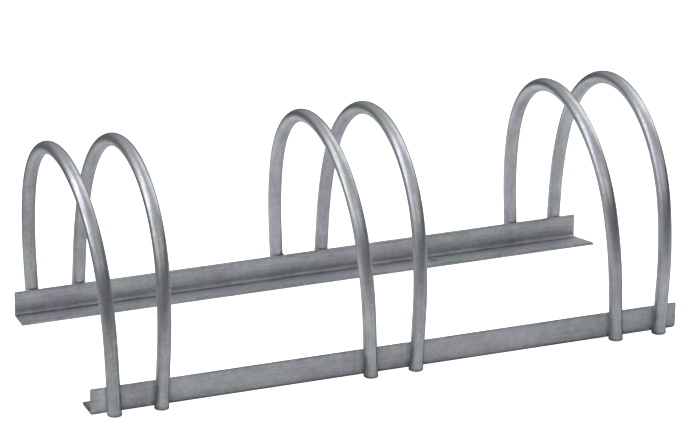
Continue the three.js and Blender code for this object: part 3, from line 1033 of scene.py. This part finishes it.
def add_camera():
    """A camera CAMERA_DISTANCE before its aim, by azimuth and elevation, turned by its roll."""
    level = Vector((math.sin(CAMERA_AZIMUTH), math.cos(CAMERA_AZIMUTH), 0.0))
    forward = level * math.cos(CAMERA_ELEVATION) - Vector((0, 0, math.sin(CAMERA_ELEVATION)))
    right = Vector((math.cos(CAMERA_AZIMUTH), -math.sin(CAMERA_AZIMUTH), 0.0))
    up = right.cross(forward)
    rolled_right = right * math.cos(CAMERA_ROLL) + up * math.sin(CAMERA_ROLL)
    rolled_up = up * math.cos(CAMERA_ROLL) - right * math.sin(CAMERA_ROLL)
    data = bpy.data.cameras.new("camera")
    data.sensor_width = SENSOR
    data.lens = CAMERA_LENS
    data.clip_end = CAMERA_REACH
    camera = bpy.data.objects.new("camera", data)
    turn = Matrix((rolled_right, rolled_up, -forward)).transposed()
    camera.matrix_world = Matrix.Translation(CAMERA_AIM - forward * CAMERA_DISTANCE) @ turn.to_4x4()
    bpy.context.scene.collection.objects.link(camera)
    bpy.context.scene.camera = camera


def add_floor():
    """A pale floor. The steel sees it white close by and dark beyond, as a table in a dim studio."""
    mesh = bpy.data.meshes.new("floor")
    ways = ((-1, -1), (1, -1), (1, 1), (-1, 1))
    corners = [(x * FLOOR_HALF, y * FLOOR_HALF, -FLOOR_DROP) for x, y in ways]
    mesh.from_pydata(corners, [], [(0, 1, 2, 3)])
    material = bpy.data.materials.new("floor")
    material.use_nodes = True
    bench = Bench(material.node_tree)
    seen = bench.add("ShaderNodeLightPath").outputs["Is Camera Ray"]
    place = bench.add("ShaderNodeTexCoord").outputs["Object"]
    from_centre = bench.vectors("DISTANCE", {0: place, 1: PALE_CENTRE}, "Value")
    near = bench.grey(bench.ramp(from_centre, *PALE_REACH, FLOOR_TONE, FAR_FLOOR_TONE))
    inputs = material.node_tree.nodes["Principled BSDF"].inputs
    inputs["Roughness"].default_value = FLOOR_ROUGHNESS
    inputs["Specular IOR Level"].default_value = FLOOR_GLOSS
    inputs["Emission Strength"].default_value = FLOOR_LIFT
    bench.link(bench.mix(seen, near, SEEN_WHITE), inputs["Base Color"])
    bench.link(bench.mix(seen, (0, 0, 0, 1), (1, 1, 1, 1)), inputs["Emission Color"])
    mesh.materials.append(material)
    floor = bpy.data.objects.new("floor", mesh)
    bpy.context.scene.collection.objects.link(floor)


def add_softbox(name, azimuth, elevation, distance, width, height, radiance):
    """A rectangular area light that faces the rack. Azimuth 0 is in front, negative is left."""
    a = math.radians(azimuth)
    e = math.radians(elevation)
    out = Vector((math.sin(a) * math.cos(e), -math.cos(a) * math.cos(e), math.sin(e)))
    data = bpy.data.lights.new(name, "AREA")
    data.shape = "RECTANGLE"
    data.size = width
    data.size_y = height
    data.energy = math.pi * width * height * radiance
    light = bpy.data.objects.new(name, data)
    light.location = Vector((0, 0, HOOP_HEIGHT / 2)) + out * distance
    light.rotation_mode = "QUATERNION"
    light.rotation_quaternion = out.to_track_quat("Z", "Y")
    light.visible_camera = False
    bpy.context.scene.collection.objects.link(light)


def add_world():
    """A dim dome above a dark horizon, dimmer behind the rack, and plain white to the camera."""
    world = bpy.data.worlds.new("studio")
    world.use_nodes = True
    bpy.context.scene.world = world
    bench = Bench(world.node_tree)
    seen = bench.add("ShaderNodeLightPath").outputs["Is Camera Ray"]
    outward = bench.add("ShaderNodeTexCoord").outputs["Generated"]
    parts = bench.add("ShaderNodeSeparateXYZ", {0: outward}).outputs
    tone = bench.ramp(parts[2], *HORIZON_TOP, HORIZON_TONE, DOME_TONE)
    tone = bench.math("MULTIPLY", tone, bench.ramp(parts[1], *BACK_DIM))
    background = world.node_tree.nodes["Background"].inputs
    bench.link(bench.mix(seen, bench.grey(tone), SEEN_WHITE), background["Color"])
    background["Strength"].default_value = 1.0


def light_studio():
    """Soft light from both sides and above, and a little from behind."""
    add_softbox("left", -102, 40, 2.6, 1.3, 2.6, 1.8)
    add_softbox("left_low", -95, 12, 3.0, 1.3, 0.8, 2.4)
    add_softbox("front_left", -58, 21, 3.0, 1.3, 0.9, 1.5)
    add_softbox("front", 5, 41, 3.0, 1.3, 0.8, 0.7)
    add_softbox("right", 108, 24, 3.0, 1.4, 0.9, 1.6)
    add_softbox("right_back", 122, 42, 3.0, 2.2, 2.2, 0.4)
    add_softbox("right_back_high", 130, 60, 3.0, 2.0, 1.6, 0.72)
    add_softbox("back", 176, 20, 3.0, 2.0, 0.5, 0.35)
    add_world()
    bpy.context.scene.view_settings.view_transform = "Standard"


add_camera()
build_spangle()
build_bloom()
build_grain()
build_lines()
build_tube_finish()
build_angle_finish()
build_weld_finish()
make_hoops()
make_rails()
make_welds()
add_floor()
light_studio()
